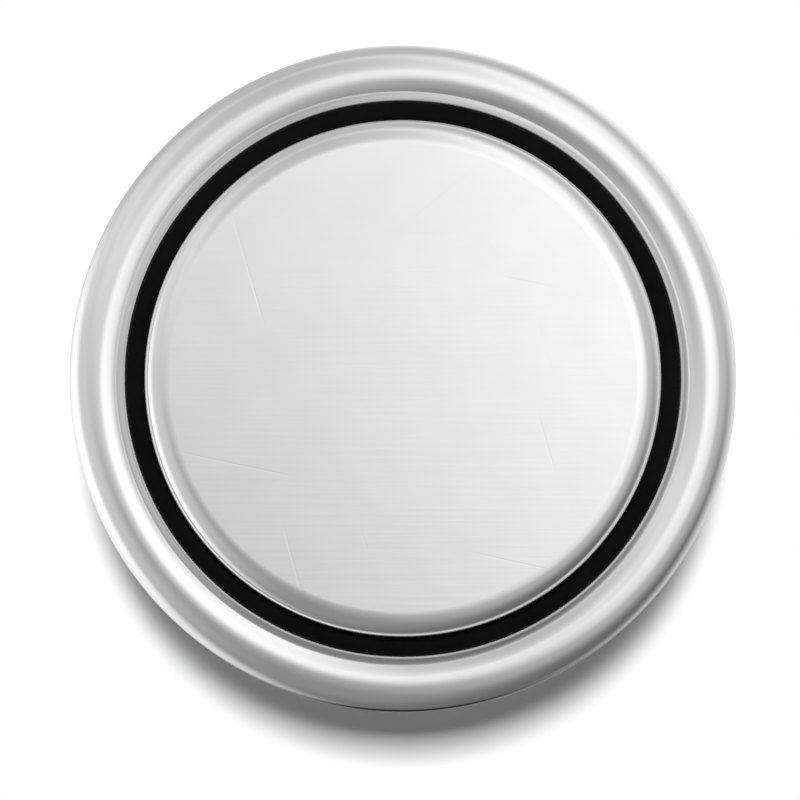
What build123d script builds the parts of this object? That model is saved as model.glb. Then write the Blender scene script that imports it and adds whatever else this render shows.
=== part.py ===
from build123d import *
from math import cos, radians
import os

# Silver oxide button cell of 11.6 x 5.4 mm: a crimped steel can, a moulded seal and a clad cap, closed around
# a silver oxide pellet and a zinc anode.
#
# All sizes are in millimetres. The origin is the middle of the can's flat base, which is the positive contact,
# and +Z runs up the axis to the cap, which is the negative contact. Apart from the polarity mark, every piece
# is round about Z, so each is drawn as half of its section, with x as the radius and y as the height.

# The whole cell, across the can and from base to cap.
cell_diameter = 11.6
cell_height = 5.4

# Positive can: one deep-drawn cup of nickel-plated steel, its rim rolled inwards over the seal.
can_wall = 0.25
can_base_corner = 0.50  # outer radius between base and wall
crimp_roll = 0.56  # outer radius of the rolled rim
lip_angle = 75  # how far past the roll's crown the rim is turned down, in degrees
lip_edge = 0.06  # rounding of the rim's cut edge, on the side that shows
mark_length = 3.0  # the plus sign pressed into the base
mark_width = 0.50
mark_depth = 0.08

# Negative cap: one stepped cup of clad sheet, upside down.
cap_wall = 0.22
cap_rise = 0.50  # from the crown of the rolled rim up to the cap's flat
cap_edge = 0.47  # radius round the flat
cap_foot = 0.15  # hollow radius where the upper wall meets the shoulder
cap_shoulder = 0.30  # radius from the shoulder down into the skirt
skirt_edge = 0.09  # rounding of the skirt's cut edge

# Gasket: one ring of black nylon. A channel holds the cap's skirt, and the crimp squeezes the rest.
seal_gap = 0.24  # between the rolled rim and the cap, where the gasket shows
seal_depth = 0.27  # from the crown of the rolled rim down to the gasket that shows
seal_bulge = 0.03  # how far the squeezed nylon swells up in that gap
gasket_wall = 0.40  # between the can's wall and the cap's skirt
gasket_seat = 0.33  # between the lip and the cap's shoulder
gasket_foot = 0.35  # under the skirt
gasket_lining = 0.30  # inside the skirt
lining_height = 0.50

# Cathode: a pressed pellet of silver oxide, a steel ring let into its top rim, and a separator film on both.
pellet_thickness = 1.75
pellet_clearance = 0.05  # to the can's wall
pellet_chamfer = 0.30
ring_wall = 0.15
ring_flange = 0.95  # how far the ring reaches in over the pellet
ring_leg = 0.60  # how far it reaches down round the pellet
ring_corner = 0.20
film_thickness = 0.10

# Anode side: a pad of absorbent fleece on the film, with the zinc gel between it and the cap.
pad_thickness = 0.30
pad_clearance = 0.03  # to the gasket's bore

# Radii that follow from these.
can_radius = cell_diameter / 2
can_bore = can_radius - can_wall
roll_centre = can_radius - crimp_roll
cap_radius = roll_centre - crimp_roll - seal_gap
skirt_radius = can_bore - gasket_wall
skirt_bore = skirt_radius - cap_wall
gasket_bore = skirt_bore - gasket_lining
pellet_radius = can_bore - pellet_clearance

# Heights that follow, up from the base and down from the cap.
pellet_top = can_wall + pellet_thickness
film_top = pellet_top + film_thickness
pad_top = film_top + pad_thickness
skirt_bottom = film_top + gasket_foot
lining_top = skirt_bottom + lining_height
crown_height = cell_height - cap_rise
roll_height = crown_height - crimp_roll
lip_height = roll_height + (crimp_roll - can_wall) * cos(radians(lip_angle))
shoulder_height = lip_height - gasket_seat
seal_top = crown_height - seal_depth


def can_line(inset):
    """The can's skin, or the line that far inside it, from the axis to the end of its rolled rim."""
    radius = can_radius - inset
    cup = FilletPolyline(
        (0, inset), (radius, inset), (radius, roll_height), radius=can_base_corner - inset
    )
    roll = CenterArc((roll_centre, roll_height), crimp_roll - inset, 0, 90 + lip_angle)
    return Wire([*cup.edges(), roll])


def cap_line(inset):
    """The cap's skin, or the line that far inside it, from the axis to the end of its skirt."""
    return FilletPolyline(
        (0, cell_height - inset),
        (cap_radius - inset, cell_height - inset),
        (cap_radius - inset, shoulder_height - inset),
        (skirt_radius - inset, shoulder_height - inset),
        (skirt_radius - inset, skirt_bottom),
        radius=[cap_edge - inset, cap_foot + inset, cap_shoulder - inset],
    )


def ring_line(inset):
    """The support ring's skin, or the line that far inside it, from its inner edge to its foot."""
    return FilletPolyline(
        (pellet_radius - ring_flange, pellet_top - inset),
        (pellet_radius - inset, pellet_top - inset),
        (pellet_radius - inset, pellet_top - ring_leg),
        radius=ring_corner - inset,
    )


def sheet_section(line, wall):
    """A sheet's closed section: its skin, the same line one wall inside it, and the two ends between them."""
    skin, back = line(0), line(wall)
    ends = [Line(skin @ 0, back @ 0), Line(skin @ 1, back @ 1)]
    return make_face([*skin.edges(), *back.edges(), *ends])


def box_section(inner_radius, outer_radius, low, high):
    """A rectangle between two radii and two heights."""
    corners = [(inner_radius, low), (outer_radius, low), (outer_radius, high), (inner_radius, high)]
    return make_face(Polyline(*corners, close=True))


def turned(section):
    """The solid that a half section makes when it is turned about Z."""
    return revolve(Plane.XZ * section, Axis.Z)


def can_section():
    """The can, with the corner of its cut edge rounded where the crimping die bears on it."""
    section = sheet_section(can_line, can_wall)
    lip_corner = section.vertices().sort_by_distance(can_line(0) @ 1)[0]
    return fillet(lip_corner, lip_edge)


def cap_section():
    """The cap, with both corners of its skirt's cut edge rounded."""
    section = sheet_section(cap_line, cap_wall)
    return fillet(section.vertices().group_by(Axis.Y)[0], skirt_edge)


def ring_section():
    return sheet_section(ring_line, ring_wall)


def pellet_section():
    """A disc chamfered at its foot, with a rebate round its top for the ring, which lies flush with it."""
    blank = box_section(0, pellet_radius, can_wall, pellet_top)
    foot_corner = blank.vertices().sort_by_distance((pellet_radius, can_wall))[0]
    blank = chamfer(foot_corner, pellet_chamfer)
    ring_side = blank.vertices().sort_by_distance((pellet_radius, pellet_top))[0]
    return fillet(ring_side, ring_corner) - ring_section()


def anode_section():
    """All the room under the cap, down to the pad, less the gasket's lining."""
    ceiling = cap_line(cap_wall)
    floor = Polyline(
        ceiling @ 1,
        (gasket_bore, skirt_bottom),
        (gasket_bore, pad_top),
        (0, pad_top),
        ceiling @ 0,
    )
    room = make_face([*ceiling.edges(), *floor.edges()])
    return room - box_section(gasket_bore, skirt_bore, skirt_bottom, lining_top)


def gasket_section():
    """All that the can, the cap and the anode leave free, from the film up to the swell in the gap."""
    inside_the_roll = roll_height + crimp_roll - can_wall
    inside_the_lip = roll_centre - crimp_roll + can_wall / 2
    middle_of_the_gap = cap_radius + seal_gap / 2
    blank = make_face(
        [
            Polyline(
                (cap_radius, seal_top),
                (cap_radius, shoulder_height),
                (gasket_bore, shoulder_height),
                (gasket_bore, film_top),
                (can_bore, film_top),
                (can_bore, inside_the_roll),
                (inside_the_lip, inside_the_roll),
                (inside_the_lip, seal_top),
            ),
            ThreePointArc(
                (cap_radius, seal_top),
                (middle_of_the_gap, seal_top + seal_bulge),
                (inside_the_lip, seal_top),
            ),
        ]
    )
    return blank - can_section() - cap_section() - anode_section()


def positive_can():
    """The can with a plus sign pressed into its base."""
    bar = SlotOverall(mark_length, mark_width)
    plus_sign = extrude(bar + Rot(0, 0, 90) * bar, mark_depth)
    return turned(can_section()) - plus_sign


def main():
    pieces = {
        "positive_can": positive_can(),
        "cathode_pellet": turned(pellet_section()),
        "support_ring": turned(ring_section()),
        "separator_film": turned(box_section(0, pellet_radius, pellet_top, film_top)),
        "absorbent_pad": turned(box_section(0, gasket_bore - pad_clearance, film_top, pad_top)),
        "gasket": turned(gasket_section()),
        "zinc_anode": turned(anode_section()),
        "negative_cap": turned(cap_section()),
    }
    os.makedirs("parts", exist_ok=True)
    for name, piece in pieces.items():
        export_step(piece, f"parts/{name}.step")


main()
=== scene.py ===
from math import asin, ceil, cos, degrees, hypot, pi, radians, sin

import bmesh
import bpy
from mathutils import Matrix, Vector


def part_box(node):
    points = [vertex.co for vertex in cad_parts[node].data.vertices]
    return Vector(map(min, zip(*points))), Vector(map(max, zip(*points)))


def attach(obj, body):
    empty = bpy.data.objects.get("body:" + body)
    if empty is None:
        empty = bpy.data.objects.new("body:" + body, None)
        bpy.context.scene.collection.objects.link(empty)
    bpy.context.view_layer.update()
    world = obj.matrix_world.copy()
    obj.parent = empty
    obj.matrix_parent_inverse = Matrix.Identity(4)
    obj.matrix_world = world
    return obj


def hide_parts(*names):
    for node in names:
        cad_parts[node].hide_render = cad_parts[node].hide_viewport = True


# Silver oxide button cell, 11.6 mm across, lying on its base with the cap upwards. Every piece is turned
# about Z from half of its section, a list of (radius, height) points. All lengths are in metres.

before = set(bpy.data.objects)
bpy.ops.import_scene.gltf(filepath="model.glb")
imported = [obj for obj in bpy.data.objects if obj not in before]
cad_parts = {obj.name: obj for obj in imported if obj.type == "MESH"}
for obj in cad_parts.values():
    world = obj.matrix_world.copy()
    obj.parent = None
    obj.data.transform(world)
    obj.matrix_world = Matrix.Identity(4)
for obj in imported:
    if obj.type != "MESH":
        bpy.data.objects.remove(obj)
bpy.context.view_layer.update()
mm = 0.001
micron = 0.001 * mm

# --------------------------------------------------------------------------------------------------
# Positive can. One cup deep-drawn from nickel-plated steel strip, 0.25 mm thick. When the cell is closed, a
# die rolls its rim inwards over the gasket, which leaves fine rings round the roll. A plus sign is pressed
# in its base.

can_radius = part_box("positive_can")[1].x
cell_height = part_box("negative_cap")[1].z
can_wall = 0.25 * mm
can_base_corner = 0.50 * mm
crimp_roll = 0.56 * mm
lip_angle = 75
lip_edge = 0.06 * mm
cap_rise = 0.50 * mm

can_bore = can_radius - can_wall
roll_centre = can_radius - crimp_roll
roll_height = cell_height - cap_rise - crimp_roll

BEND_STEP = 5
RUN_STEP = 0.25 * mm
TIGHT_STEP = 0.012 * mm
ROUND = 360
SAME_POINT = 1e-8
SHARP_ANGLE = 28


def bend(radius, height, size, start, end):
    """A round bend of a section about a centre, from one angle to the other, in degrees."""
    steps = max(3, ceil(abs(end - start) / BEND_STEP))
    angles = [radians(start + (end - start) * i / steps) for i in range(steps + 1)]
    return [(radius + size * cos(a), height + size * sin(a)) for a in angles]


def run(start, end):
    """A straight run of a section, with a point close to each end so that its shading stays flat."""
    length = hypot(end[0] - start[0], end[1] - start[1])
    steps = max(1, ceil(length / RUN_STEP))
    shares = {0.0, 1.0, *(i / steps for i in range(1, steps))}
    if length > 4 * TIGHT_STEP:
        shares |= {TIGHT_STEP / length, 1 - TIGHT_STEP / length}
    return [tuple(a + (b - a) * s for a, b in zip(start, end)) for s in sorted(shares)]


def joined(*stretches):
    """The stretches of a section end to end, with each shared point once."""
    points = []
    for x, z in (p for stretch in stretches for p in stretch):
        if not points or hypot(x - points[-1][0], z - points[-1][1]) > 1e-9:
            points.append((x, z))
    return points


def cut_corner(angle, size, edge):
    """The rounded outer corner of the roll's cut edge, and how far the roll's own arc runs before it."""
    short = degrees(asin(edge / (size - edge)))
    middle = radians(angle - short)
    centre = (size - edge) * cos(middle), (size - edge) * sin(middle)
    corner = bend(roll_centre + centre[0], roll_height + centre[1], edge, angle - short, angle + 90)
    return angle - short, corner


end_angle = 90 + lip_angle
arc_end, lip_corner = cut_corner(end_angle, crimp_roll, lip_edge)
can_roll = bend(roll_centre, roll_height, crimp_roll, 0, arc_end)
can_roll_back = bend(roll_centre, roll_height, crimp_roll - can_wall, end_angle, 0)
can_section = joined(
    run((0, 0), (can_radius - can_base_corner, 0)),
    bend(can_radius - can_base_corner, can_base_corner, can_base_corner, -90, 0),
    run((can_radius, can_base_corner), (can_radius, roll_height)),
    can_roll,
    lip_corner,
    can_roll_back,
    run((can_bore, roll_height), (can_bore, can_base_corner)),
    bend(can_radius - can_base_corner, can_base_corner, can_base_corner - can_wall, 0, -90),
    run((can_radius - can_base_corner, can_wall), (0, can_wall)),
)


def add_node(tree, kind, inputs=(), **settings):
    """A node with its settings, and its inputs by name or number: sockets are linked, the rest is set."""
    node = tree.nodes.new(kind)
    for name, value in settings.items():
        setattr(node, name, value)
    for key, value in dict(inputs).items():
        if isinstance(value, bpy.types.NodeSocket):
            tree.links.new(value, node.inputs[key])
        else:
            node.inputs[key].default_value = value
    return node


def turning_tree():
    """Geometry Nodes that turn a section about Z: a grid bent round the axis, closed at seam and poles."""
    tree = bpy.data.node_groups.new("turned_section", "GeometryNodeTree")
    sockets = [
        ("Section", "INPUT", "Geometry"),
        ("Sides", "INPUT", "Int"),
        ("First back point", "INPUT", "Int"),
        ("Skin", "INPUT", "Material"),
        ("Back", "INPUT", "Material"),
        ("Piece", "OUTPUT", "Geometry"),
    ]
    for name, way, kind in sockets:
        tree.interface.new_socket(name, in_out=way, socket_type="NodeSocket" + kind)
    given = add_node(tree, "NodeGroupInput").outputs

    def math(operation, a, b):
        return add_node(tree, "ShaderNodeMath", {0: a, 1: b}, operation=operation).outputs[0]

    section = given["Section"]
    count = add_node(tree, "GeometryNodeAttributeDomainSize", {"Geometry": section}).outputs["Point Count"]
    round_count = math("ADD", given["Sides"], 1)
    grid = add_node(
        tree, "GeometryNodeMeshGrid", {"Vertices X": count, "Vertices Y": round_count}
    ).outputs["Mesh"]
    index = add_node(tree, "GeometryNodeInputIndex").outputs[0]
    along = math("FLOOR", math("DIVIDE", math("ADD", index, 0.5), round_count), 0)
    turn = math("DIVIDE", math("SUBTRACT", index, math("MULTIPLY", along, round_count)), given["Sides"])
    place = add_node(tree, "GeometryNodeInputPosition").outputs[0]
    point = add_node(
        tree, "GeometryNodeSampleIndex", {"Geometry": section, "Value": place, "Index": along},
        data_type="FLOAT_VECTOR",
    ).outputs["Value"]
    turned = add_node(
        tree, "ShaderNodeVectorRotate", {"Vector": point, "Angle": math("MULTIPLY", turn, 2 * pi)},
        rotation_type="Z_AXIS",
    ).outputs[0]
    bent = add_node(tree, "GeometryNodeSetPosition", {"Geometry": grid, "Position": turned}).outputs[0]
    face_row = math("FLOOR", math("DIVIDE", math("ADD", index, 0.5), given["Sides"]), 0)
    is_back = add_node(
        tree, "FunctionNodeCompare", {0: face_row, 1: given["First back point"]}, operation="GREATER_EQUAL"
    ).outputs[0]
    skin = add_node(tree, "GeometryNodeSetMaterial", {"Geometry": bent, "Material": given["Skin"]}).outputs[0]
    both = add_node(
        tree, "GeometryNodeSetMaterial", {"Geometry": skin, "Selection": is_back, "Material": given["Back"]}
    ).outputs[0]
    closed = add_node(
        tree, "GeometryNodeMergeByDistance", {"Geometry": both, "Distance": SAME_POINT}
    ).outputs[0]
    real = add_node(tree, "GeometryNodeRealizeInstances", {"Geometry": closed}).outputs[0]
    add_node(tree, "NodeGroupOutput", {"Piece": real})
    return tree


turning = turning_tree()


def turned_piece(name, section, skin, back=None, first_back_point=None):
    """A piece turned about Z from its section. Its back, from a given point on, may have its own finish."""
    mesh = bpy.data.meshes.new(name)
    links = [(i, i + 1) for i in range(len(section) - 1)]
    mesh.from_pydata([(x, 0, z) for x, z in section], links, [])
    piece = bpy.data.objects.new(name, mesh)
    bpy.context.scene.collection.objects.link(piece)
    lathe = piece.modifiers.new("turned", "NODES")
    lathe.node_group = turning
    values = {
        "Sides": ROUND,
        "First back point": first_back_point or len(section),
        "Skin": skin,
        "Back": back or skin,
    }
    for socket in turning.interface.items_tree:
        if socket.name in values:
            lathe[socket.identifier] = values[socket.name]
    return finish_mesh(piece)


def finish_mesh(piece):
    """Makes a piece's own mesh of what its modifiers give, faces outwards, smooth but for sharp edges."""
    made = piece.evaluated_get(bpy.context.evaluated_depsgraph_get())
    piece.data = bpy.data.meshes.new_from_object(made)
    piece.modifiers.clear()
    shell = bmesh.new()
    shell.from_mesh(piece.data)
    bmesh.ops.triangulate(shell, faces=[face for face in shell.faces if len(face.verts) > 4])
    bmesh.ops.dissolve_degenerate(shell, edges=shell.edges, dist=SAME_POINT)
    bmesh.ops.recalc_face_normals(shell, faces=shell.faces)
    shell.to_mesh(piece.data)
    shell.free()
    piece.data.shade_smooth()
    piece.data.set_sharp_from_angle(angle=radians(SHARP_ANGLE))
    return piece


def noise(tree, vector, scale, detail=2.0):
    """Plain noise, so many to the metre."""
    return add_node(
        tree, "ShaderNodeTexNoise", {"Vector": vector, "Scale": scale, "Detail": detail}
    ).outputs[0]


def spread(tree, value, low, high, to_low=0.0, to_high=1.0):
    """A value moved from one range to another, and held to it."""
    ranges = {"From Min": low, "From Max": high, "To Min": to_low, "To Max": to_high}
    return add_node(tree, "ShaderNodeMapRange", {"Value": value, **ranges}).outputs[0]


def sum_of(tree, value, times, plus):
    """A value multiplied by one thing and added to another."""
    return add_node(
        tree, "ShaderNodeMath", {0: value, 1: times, 2: plus}, operation="MULTIPLY_ADD"
    ).outputs[0]


def streaks(tree, place, turn, along, across, detail=2.0):
    """Noise drawn out in one direction of the XY plane, so many to the metre along it and across it."""
    turned = add_node(
        tree, "ShaderNodeMapping", {"Vector": place, "Rotation": (0, 0, radians(turn))}
    ).outputs[0]
    drawn = add_node(
        tree, "ShaderNodeVectorMath", {0: turned, 1: (along, across, across)}, operation="MULTIPLY"
    ).outputs[0]
    return noise(tree, drawn, 1, detail)


def start_material(name):
    """A new material, its tree and shader, and the place on the piece."""
    material = bpy.data.materials.new(name)
    material.use_nodes = True
    tree = material.node_tree
    place = add_node(tree, "ShaderNodeTexCoord").outputs["Object"]
    return material, tree, tree.nodes["Principled BSDF"], place


def finish_with(tree, shader, tone, roughness, height):
    """Links a material's tone, its roughness, and its relief in metres."""
    relief = add_node(tree, "ShaderNodeBump", {"Distance": 1.0, "Height": height}).outputs[0]
    for name, value in (("Base Color", tone), ("Roughness", roughness), ("Normal", relief)):
        if isinstance(value, bpy.types.NodeSocket):
            tree.links.new(value, shader.inputs[name])
        else:
            shader.inputs[name].default_value = value


def nickel_plate(name, colour, roughness, tool_marks, line_depth):
    """Bright nickel over steel: a faintly uneven tone, fine grain, tool marks and a few hair scratches."""
    material, tree, shader, place = start_material(name)
    shader.inputs["Metallic"].default_value = 1
    tone = spread(tree, noise(tree, place, 900, 4), 0.3, 0.7, 0.985, 1.015)
    tint = add_node(tree, "ShaderNodeVectorMath", {0: colour, 3: tone}, operation="SCALE").outputs[0]
    hair = 0
    for turn in (12, 74, 141):
        scratch = spread(tree, streaks(tree, place, turn, 220, 12000, 3), 0.70, 0.78)
        hair = add_node(tree, "ShaderNodeMath", {0: hair, 1: scratch}, operation="MAXIMUM").outputs[0]
    relief = sum_of(tree, tool_marks(tree, place), line_depth, 0)
    relief = sum_of(tree, noise(tree, place, 24000), 0.12 * micron, relief)
    relief = sum_of(tree, hair, -0.55 * micron, relief)
    worn = spread(tree, noise(tree, place, 1500, 3), 0.3, 0.7, roughness * 0.85, roughness * 1.15)
    finish_with(tree, shader, tint, sum_of(tree, hair, 0.08, worn), relief)
    return material


def rings_and_draws(tree, place):
    """Rings round the rolled rim and the base, and draw lines up the straight wall."""
    axes = add_node(tree, "ShaderNodeSeparateXYZ", {0: place}).outputs
    flat = add_node(tree, "ShaderNodeCombineXYZ", {0: axes["X"], 1: axes["Y"]}).outputs[0]
    radius = add_node(tree, "ShaderNodeVectorMath", {0: flat}, operation="LENGTH").outputs["Value"]
    profile = add_node(tree, "ShaderNodeCombineXYZ", {0: radius, 1: axes["Z"]}).outputs[0]
    upright = add_node(
        tree, "ShaderNodeVectorMath", {0: place, 1: (1, 1, 0.015)}, operation="MULTIPLY"
    ).outputs[0]
    above_base = spread(tree, axes["Z"], 0.2 * mm, 0.5 * mm)
    below_rim = spread(tree, axes["Z"], roll_height, roll_height + 0.2 * mm, 1, 0)
    on_wall = sum_of(tree, above_base, below_rim, 0)
    draws = sum_of(tree, noise(tree, upright, 9000, 4), 2, 0)
    return add_node(
        tree, "ShaderNodeMix", {"Factor": on_wall, "A": noise(tree, profile, 18000, 3), "B": draws},
        data_type="FLOAT",
    ).outputs[0]


can_plate = nickel_plate("can_nickel_plate", (0.80, 0.80, 0.80), 0.13, rings_and_draws, 1.2 * micron)
can = turned_piece("can_shell", can_section, can_plate)

mark_length = 3.0 * mm
mark_width = 0.50 * mm
mark_depth = 0.08 * mm
mark_slope = 0.03 * mm


def plus_outline(grow, height):
    """The plus sign's outline with round ends, grown by a little, at a height."""
    reach, half = mark_length / 2 - mark_width / 2, mark_width / 2 + grow
    arm = [(half, -half)]
    arm += [(reach + half * cos(radians(a)), half * sin(radians(a))) for a in range(-90, 91, 10)]
    turns = [(cos(quarter * pi / 2), sin(quarter * pi / 2)) for quarter in range(4)]
    return [(x * c - y * s, x * s + y * c, height) for c, s in turns for x, y in arm]


def press_plus(piece):
    """Cuts the plus sign into the base, with slightly sloping walls and the dull floor of a struck mark."""
    levels = [
        plus_outline(mark_slope, -0.1 * mark_depth),
        plus_outline(0, 0.8 * mark_depth),
        plus_outline(-mark_slope, mark_depth),
    ]
    ring = len(levels[0])
    faces = [tuple(reversed(range(ring))), tuple(range(2 * ring, 3 * ring))]
    for start in (0, ring):
        sides = [(start + i, start + (i + 1) % ring) for i in range(ring)]
        faces += [(a, b, b + ring, a + ring) for a, b in sides]
    mesh = bpy.data.meshes.new("plus_punch")
    mesh.from_pydata([point for level in levels for point in level], [], faces)
    struck_plate = nickel_plate("mark_nickel_plate", (0.62, 0.62, 0.62), 0.34, rings_and_draws, 1.2 * micron)
    mesh.materials.append(struck_plate)
    punch = bpy.data.objects.new("plus_punch", mesh)
    bpy.context.scene.collection.objects.link(punch)
    cut = piece.modifiers.new("plus", "BOOLEAN")
    cut.operation, cut.solver, cut.object, cut.material_mode = "DIFFERENCE", "EXACT", punch, "TRANSFER"
    finish_mesh(piece)
    bpy.data.objects.remove(punch)


press_plus(can)
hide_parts("positive_can")
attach(can, "root")

# --------------------------------------------------------------------------------------------------
# Cathode pellet. Silver oxide powder pressed with a little graphite into a disc, chamfered at its foot, with
# a rebate round its top for the support ring. It stands in the can and touches the base.

pellet_clearance = 0.05 * mm
pellet_thickness = 1.75 * mm
pellet_chamfer = 0.30 * mm
ring_wall = 0.15 * mm
ring_flange = 0.95 * mm
ring_leg = 0.60 * mm
ring_corner = 0.20 * mm

pellet_radius = can_bore - pellet_clearance
pellet_top = can_wall + pellet_thickness
flange_edge = pellet_radius - ring_flange
leg_foot = pellet_top - ring_leg


def ring_side(inset):
    """The support ring's skin, or the line that far inside it, from its inner edge out and down."""
    corner = (pellet_radius - ring_corner, pellet_top - ring_corner)
    return joined(
        run((flange_edge, pellet_top - inset), (corner[0], pellet_top - inset)),
        bend(*corner, ring_corner - inset, 90, 0),
        run((pellet_radius - inset, corner[1]), (pellet_radius - inset, leg_foot)),
    )


pellet_section = joined(
    run((0, can_wall), (pellet_radius - pellet_chamfer, can_wall)),
    run((pellet_radius - pellet_chamfer, can_wall), (pellet_radius, can_wall + pellet_chamfer)),
    run((pellet_radius, can_wall + pellet_chamfer), (pellet_radius, leg_foot)),
    ring_side(ring_wall)[::-1],
    run((flange_edge, pellet_top), (0, pellet_top)),
)


def pressed_oxide():
    """Black pressed powder: a fine matt grain with scattered flecks of brighter graphite."""
    material, tree, shader, place = start_material("pellet_pressed_oxide")
    grain = noise(tree, place, 16000, 5)
    cell = add_node(tree, "ShaderNodeTexVoronoi", {"Vector": place, "Scale": 9000}).outputs["Distance"]
    fleck = spread(tree, cell, 0.10, 0.16, 1, 0)
    black = add_node(
        tree, "ShaderNodeMix",
        {"Factor": grain, "A": (0.016, 0.015, 0.014, 1), "B": (0.060, 0.056, 0.052, 1)},
        data_type="RGBA",
    ).outputs[2]
    tone = add_node(
        tree, "ShaderNodeMix", {"Factor": fleck, "A": black, "B": (0.20, 0.20, 0.21, 1)}, data_type="RGBA"
    ).outputs[2]
    rough = sum_of(tree, fleck, -0.30, spread(tree, grain, 0.3, 0.7, 0.60, 0.82))
    finish_with(tree, shader, tone, rough, sum_of(tree, grain, 6 * micron, 0))
    return material


pellet = turned_piece("pellet_disc", pellet_section, pressed_oxide())
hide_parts("cathode_pellet")
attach(pellet, "root")

# --------------------------------------------------------------------------------------------------
# Support ring. An L-section ring pressed from nickel-plated steel strip. It lies flush in the pellet's
# rebate and carries the gasket's foot when the can is crimped.

ring_section = joined(ring_side(0), ring_side(ring_wall)[::-1], ring_side(0)[:1])
ring_plate = nickel_plate("ring_nickel_plate", (0.70, 0.70, 0.69), 0.22, rings_and_draws, 1.5 * micron)
support_ring = turned_piece("support_ring_pressing", ring_section, ring_plate)
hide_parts("support_ring")
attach(support_ring, "root")

# --------------------------------------------------------------------------------------------------
# Separator film. A disc punched from laminated cellulose film, laid over the pellet and its ring, and held
# down at its edge by the gasket's foot.

film_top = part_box("separator_film")[1].z


def disc_section(radius, bottom, top):
    """The section of a plain disc."""
    return joined(
        run((0, bottom), (radius, bottom)),
        run((radius, bottom), (radius, top)),
        run((radius, top), (0, top)),
    )


def laminated_film():
    """Cream film with a soft shine, slightly cloudy and puckered."""
    material, tree, shader, place = start_material("separator_laminated_film")
    cloud = noise(tree, place, 1400, 4)
    tone = add_node(
        tree, "ShaderNodeMix", {"Factor": cloud, "A": (0.86, 0.82, 0.70, 1), "B": (0.76, 0.72, 0.60, 1)},
        data_type="RGBA",
    ).outputs[2]
    grain = sum_of(tree, noise(tree, place, 20000), 0.5 * micron, 0)
    pucker = sum_of(tree, noise(tree, place, 2600, 3), 9 * micron, grain)
    finish_with(tree, shader, tone, spread(tree, cloud, 0.3, 0.7, 0.24, 0.40), pucker)
    return material


film = turned_piece("separator_disc", disc_section(pellet_radius, pellet_top, film_top), laminated_film())
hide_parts("separator_film")
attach(film, "root")

# --------------------------------------------------------------------------------------------------
# Absorbent pad. A disc punched from white cellulose fleece, soaked in electrolyte. It lies on the film,
# inside the gasket's bore, with the zinc gel on top of it.

pad_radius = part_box("absorbent_pad")[1].x
pad_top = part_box("absorbent_pad")[1].z


def felted_fleece():
    """White felt of fine fibres that lie every way."""
    material, tree, shader, place = start_material("pad_fleece")
    fibres = 0
    for turn in (8, 41, 77, 112, 149):
        strand = spread(tree, streaks(tree, place, turn, 1500, 21000, 2), 0.52, 0.68)
        fibres = add_node(tree, "ShaderNodeMath", {0: fibres, 1: strand}, operation="MAXIMUM").outputs[0]
    tone = add_node(
        tree, "ShaderNodeMix", {"Factor": fibres, "A": (0.66, 0.65, 0.61, 1), "B": (0.92, 0.91, 0.88, 1)},
        data_type="RGBA",
    ).outputs[2]
    finish_with(tree, shader, tone, 0.92, sum_of(tree, fibres, 14 * micron, 0))
    shader.inputs["Sheen Weight"].default_value = 0.25
    return material


pad = turned_piece("fleece_disc", disc_section(pad_radius, film_top, pad_top), felted_fleece())
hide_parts("absorbent_pad")
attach(pad, "root")

# --------------------------------------------------------------------------------------------------
# Negative cap. One stepped cup of clad strip, nickel outside and copper inside, set upside down in the
# gasket. Its flat is the negative contact. The strip's rolling grain still shows faintly across it.

seal_gap = 0.24 * mm
cap_wall = 0.22 * mm
cap_edge = 0.47 * mm
cap_foot = 0.15 * mm
cap_shoulder = 0.30 * mm
skirt_edge = 0.09 * mm
gasket_wall = 0.40 * mm
gasket_seat = 0.33 * mm

cap_radius = roll_centre - crimp_roll - seal_gap
skirt_radius = can_bore - gasket_wall
skirt_bore = skirt_radius - cap_wall
skirt_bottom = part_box("negative_cap")[0].z
shoulder_height = roll_height + (crimp_roll - can_wall) * cos(radians(lip_angle)) - gasket_seat


def cap_side(inset):
    """The cap's stepped side, or the line that far inside it, from the flat's edge down to the skirt."""
    edge, foot, shoulder = cap_edge - inset, cap_foot + inset, cap_shoulder - inset
    wall, step, skirt = cap_radius - inset, shoulder_height - inset, skirt_radius - inset
    return [
        bend(wall - edge, cell_height - inset - edge, edge, 90, 0),
        bend(wall + foot, step + foot, foot, 180, 270),
        bend(skirt - shoulder, step - shoulder, shoulder, 90, 0),
    ]


skirt_top = shoulder_height - cap_shoulder
skirt_foot = skirt_bottom + skirt_edge
cap_outside = joined(*cap_side(0), run((skirt_radius, skirt_top), (skirt_radius, skirt_foot)))
cap_inside = joined(*cap_side(cap_wall), run((skirt_bore, skirt_top), (skirt_bore, skirt_foot)))
skirt_end = joined(
    bend(skirt_radius - skirt_edge, skirt_foot, skirt_edge, 0, -90),
    bend(skirt_bore + skirt_edge, skirt_foot, skirt_edge, -90, -180),
)
cap_skin = joined(run((0, cell_height), cap_outside[0]), cap_outside, skirt_end)
cap_section = joined(cap_skin, cap_inside[::-1], run(cap_inside[0], (0, cell_height - cap_wall)))


def rolling_grain(tree, place):
    """The rolling grain of the strip, straight across the cap."""
    return streaks(tree, place, 0, 450, 15000, 4)


def copper_lining():
    """The bare copper face of the clad strip, dull and a little mottled."""
    material, tree, shader, place = start_material("cap_copper_lining")
    shader.inputs["Metallic"].default_value = 1
    mottle = noise(tree, place, 1800, 4)
    tone = add_node(
        tree, "ShaderNodeMix", {"Factor": mottle, "A": (0.83, 0.44, 0.29, 1), "B": (0.66, 0.31, 0.20, 1)},
        data_type="RGBA",
    ).outputs[2]
    grain = sum_of(tree, rolling_grain(tree, place), 0.5 * micron, 0)
    finish_with(tree, shader, tone, spread(tree, mottle, 0.3, 0.7, 0.25, 0.45), grain)
    return material


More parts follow.
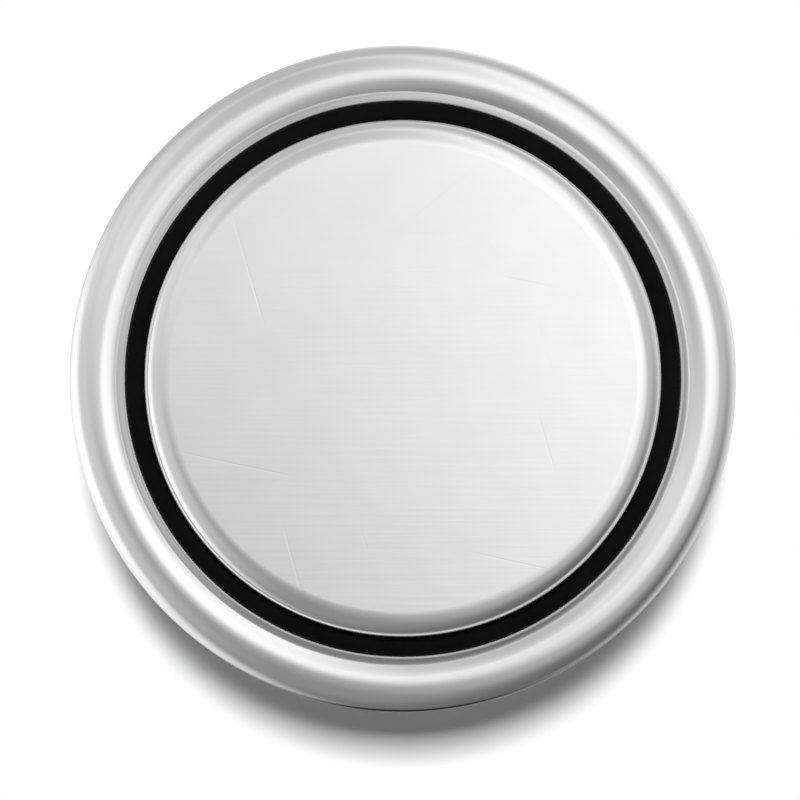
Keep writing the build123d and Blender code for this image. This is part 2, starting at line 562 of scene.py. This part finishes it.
cap_plate = nickel_plate("cap_nickel_plate", (0.81, 0.81, 0.81), 0.13, rolling_grain, 0.7 * micron)
cap = turned_piece("cap_cup", cap_section, cap_plate, copper_lining(), len(cap_skin) - 1)
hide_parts("negative_cap")
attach(cap, "root")

# --------------------------------------------------------------------------------------------------
# Gasket. One moulded ring of black nylon between can and cap. The crimp squeezes it to fill all the room
# between them, and it swells up a little in the gap round the cap, the only place where it shows.

seal_depth = 0.27 * mm
seal_bulge = 0.03 * mm
gasket_bore = skirt_bore - 0.30 * mm
lining_top = skirt_bottom + 0.50 * mm
seal_height = cell_height - cap_rise - seal_depth


def swell():
    """The arc of squeezed nylon across the gap, from the cap's wall to where it meets the rolled rim."""
    meets = min(((x, z) for x, z in can_roll if x < roll_centre), key=lambda p: abs(p[1] - seal_height))
    half = (meets[0] - cap_radius) / 2
    size = (half**2 + seal_bulge**2) / (2 * seal_bulge)
    reach = degrees(asin(half / size))
    arc = bend(cap_radius + half, seal_height + seal_bulge - size, size, 90 + reach, 90 - reach)
    return [*arc[:-1], meets]


def below(points, height):
    """The points of a section that lie lower than a height."""
    return [p for p in points if p[1] < height - 1e-9]


seal_top = swell()
roll_below_seal = below([p for p in can_roll if p[0] < roll_centre], seal_top[-1][1])
gasket_section = joined(
    seal_top,
    roll_below_seal,
    lip_corner,
    can_roll_back,
    run((can_bore, roll_height), (can_bore, film_top)),
    run((can_bore, film_top), (gasket_bore, film_top)),
    run((gasket_bore, film_top), (gasket_bore, lining_top)),
    run((gasket_bore, lining_top), (skirt_bore, lining_top)),
    run((skirt_bore, lining_top), (skirt_bore, skirt_foot)),
    skirt_end[::-1],
    below(cap_outside[::-1], seal_height),
    seal_top[:1],
)


def black_nylon():
    """Black nylon with the fine, faintly uneven skin of a moulded and squeezed part."""
    material, tree, shader, place = start_material("gasket_black_nylon")
    shader.inputs["Specular IOR Level"].default_value = 0.04
    cloud = noise(tree, place, 1200)
    tone = add_node(
        tree, "ShaderNodeMix",
        {"Factor": cloud, "A": (0.0012, 0.0012, 0.0013, 1), "B": (0.0040, 0.0040, 0.0042, 1)},
        data_type="RGBA",
    ).outputs[2]
    skin = noise(tree, place, 9000, 4)
    relief = sum_of(tree, skin, 2 * micron, 0)
    finish_with(tree, shader, tone, spread(tree, skin, 0.3, 0.7, 0.45, 0.65), relief)
    return material


gasket = turned_piece("gasket_ring", gasket_section, black_nylon())
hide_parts("gasket")
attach(gasket, "root")

# --------------------------------------------------------------------------------------------------
# Zinc anode. Zinc powder in a stiff wet gel, dosed into the upturned cap and its gasket. It fills all the
# room down to the absorbent pad.

anode_section = joined(
    run((0, pad_top), (gasket_bore, pad_top)),
    run((gasket_bore, pad_top), (gasket_bore, lining_top)),
    run((gasket_bore, lining_top), (skirt_bore, lining_top)),
    run((skirt_bore, lining_top), (skirt_bore, skirt_top)),
    joined(*cap_side(cap_wall))[::-1],
    run(cap_inside[0], (0, cell_height - cap_wall)),
)


def zinc_gel():
    """Wet grey gel, lumpy with grains of zinc of slightly different greys."""
    material, tree, shader, place = start_material("anode_zinc_gel")
    grains = add_node(
        tree, "ShaderNodeTexVoronoi", {"Vector": place, "Scale": 8000}, feature="SMOOTH_F1"
    ).outputs
    shade = add_node(tree, "ShaderNodeSeparateXYZ", {0: grains["Color"]}).outputs["X"]
    tone = add_node(
        tree, "ShaderNodeMix", {"Factor": shade, "A": (0.19, 0.20, 0.21, 1), "B": (0.44, 0.45, 0.47, 1)},
        data_type="RGBA",
    ).outputs[2]
    lumps = sum_of(tree, grains["Distance"], -45 * micron, 0)
    finish_with(tree, shader, tone, spread(tree, shade, 0, 1, 0.34, 0.52), lumps)
    shader.inputs["Metallic"].default_value = 0.6
    shader.inputs["Coat Weight"].default_value = 0.5
    shader.inputs["Coat Roughness"].default_value = 0.15
    return material


anode = turned_piece("zinc_filling", anode_section, zinc_gel())
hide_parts("zinc_anode")
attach(anode, "root")

# --------------------------------------------------------------------------------------------------
# Stage. A pale card that keeps the cell's shadow, a soft lamp high above it and a little towards +Y, and a
# room of light and dark patches that only the metal mirrors.

CARD_DROP = 0.01 * mm
CARD_RADIUS = 7.7 * mm
CARD_COLOUR = (0.94, 0.94, 0.94, 1)
CARD_LIFT = 0.03


def white_card():
    """Matt white, brought up to the white of the background, and not there at all from underneath."""
    material = bpy.data.materials.new("card_white")
    material.use_nodes = True
    tree = material.node_tree
    tree.nodes.clear()
    seen = add_node(tree, "ShaderNodeLightPath").outputs["Is Camera Ray"]
    lift = add_node(tree, "ShaderNodeMath", {0: seen, 1: CARD_LIFT}, operation="MULTIPLY").outputs[0]
    paint = add_node(tree, "ShaderNodeBsdfDiffuse", {"Color": CARD_COLOUR}).outputs[0]
    glow = add_node(tree, "ShaderNodeEmission", {"Strength": lift}).outputs[0]
    top = add_node(tree, "ShaderNodeAddShader", {0: paint, 1: glow}).outputs[0]
    under = add_node(tree, "ShaderNodeBsdfTransparent").outputs[0]
    back = add_node(tree, "ShaderNodeNewGeometry").outputs["Backfacing"]
    both = add_node(tree, "ShaderNodeMixShader", {0: back, 1: top, 2: under}).outputs[0]
    add_node(tree, "ShaderNodeOutputMaterial", {"Surface": both})
    return material


card_mesh = bpy.data.meshes.new("card")
card_edge = [(x, y, -CARD_DROP) for x, y in bend(0, 0, CARD_RADIUS, 0, 355)]
card_mesh.from_pydata(card_edge, [], [range(len(card_edge))])
card_mesh.materials.append(white_card())
card = bpy.data.objects.new("card", card_mesh)
bpy.context.scene.collection.objects.link(card)
# The metal doesn't mirror the card, which would make the base look black from below.
card.visible_glossy = False

# Patches of the room: side (0 is +X and 90 is +Y), angle down from overhead, spread, and strength, where a
# minus darkens. ROOM_LEVEL and every row but the last are the rounded result of a least-squares fit by
# another program. Only the last row was given without that fit.
WHITE = (1, 1, 1, 1)
SHADE_LEVEL = 0.07
DARKEST_LEVEL = 0.02
ROOM_LEVEL = 0.316
ROOM_LIGHTS = [
    (10, 38, 72, 0.30),
    (357, 25, 31, 0.42),
    (91, 38, 56, 0.55),
    (110, 48, 35, -0.44),
    (177, 73, 66, 0.42),
    (89, 109, 101, 0.28),
    (202, 122, 52, 0.77),
    (13, 144, 63, 0.56),
    (311, 122, 77, -0.15),
    (278, 152, 30, -0.28),
]


def soft_room():
    """The room: plain white where it is seen, and soft patches of light where the metal mirrors it."""
    world = bpy.data.worlds.new("room")
    bpy.context.scene.world = world
    world.use_nodes = True
    tree = world.node_tree
    tree.nodes.clear()
    way = add_node(tree, "ShaderNodeTexCoord").outputs["Generated"]
    total = ROOM_LEVEL
    for side, down, reach, strength in ROOM_LIGHTS:
        a, d = radians(side), radians(down)
        aim = Vector((sin(d) * cos(a), sin(d) * sin(a), cos(d)))
        near = add_node(
            tree, "ShaderNodeVectorMath", {0: way, 1: aim}, operation="DOT_PRODUCT"
        ).outputs["Value"]
        patch = add_node(
            tree, "ShaderNodeMapRange",
            {"Value": near, "From Min": cos(radians(reach)), "From Max": 1, "To Min": 0, "To Max": strength},
            interpolation_type="SMOOTHSTEP",
        ).outputs[0]
        total = add_node(tree, "ShaderNodeMath", {0: total, 1: patch}).outputs[0]
    total = add_node(tree, "ShaderNodeMath", {0: total, 1: DARKEST_LEVEL}, operation="MAXIMUM").outputs[0]
    path = add_node(tree, "ShaderNodeLightPath").outputs
    mirrored = add_node(tree, "ShaderNodeBackground", {"Color": WHITE, "Strength": total}).outputs[0]
    plain = add_node(tree, "ShaderNodeBackground", {"Color": WHITE, "Strength": SHADE_LEVEL}).outputs[0]
    white = add_node(tree, "ShaderNodeBackground", {"Color": WHITE, "Strength": 1.0}).outputs[0]
    lit = add_node(tree, "ShaderNodeMixShader", {0: path["Is Glossy Ray"], 1: plain, 2: mirrored}).outputs[0]
    seen = add_node(tree, "ShaderNodeMixShader", {0: path["Is Camera Ray"], 1: lit, 2: white}).outputs[0]
    add_node(tree, "ShaderNodeOutputWorld", {"Surface": seen})


soft_room()

LAMP_WIDTH = 10 * mm
LAMP_LENGTH = 12 * mm
LAMP_WATTS = 0.070
LAMP_PLACE = (0, 17.5 * mm, 80 * mm)
lamp_data = bpy.data.lights.new("soft_lamp", "AREA")
lamp_data.shape = "RECTANGLE"
lamp_data.size, lamp_data.size_y = LAMP_WIDTH, LAMP_LENGTH
lamp_data.energy = LAMP_WATTS
lamp = bpy.data.objects.new("soft_lamp", lamp_data)
lamp.location = LAMP_PLACE
lamp.rotation_euler = (Vector((0, 0, 0)) - lamp.location).to_track_quat("-Z", "Y").to_euler()
lamp.visible_glossy = False
bpy.context.scene.collection.objects.link(lamp)

LENS = 100
SENSOR = 36
VIEW_WIDTH = 13.93 * mm
VIEW_CENTRE = (-0.05 * mm, -0.37 * mm)
camera_data = bpy.data.cameras.new("camera")
camera_data.lens, camera_data.sensor_width = LENS, SENSOR
camera_data.clip_start, camera_data.clip_end = 1 * mm, 2
camera = bpy.data.objects.new("camera", camera_data)
camera.location = (*VIEW_CENTRE, roll_height + VIEW_WIDTH * LENS / SENSOR)
bpy.context.scene.collection.objects.link(camera)
bpy.context.scene.camera = camera
bpy.context.scene.view_settings.view_transform = "Standard"
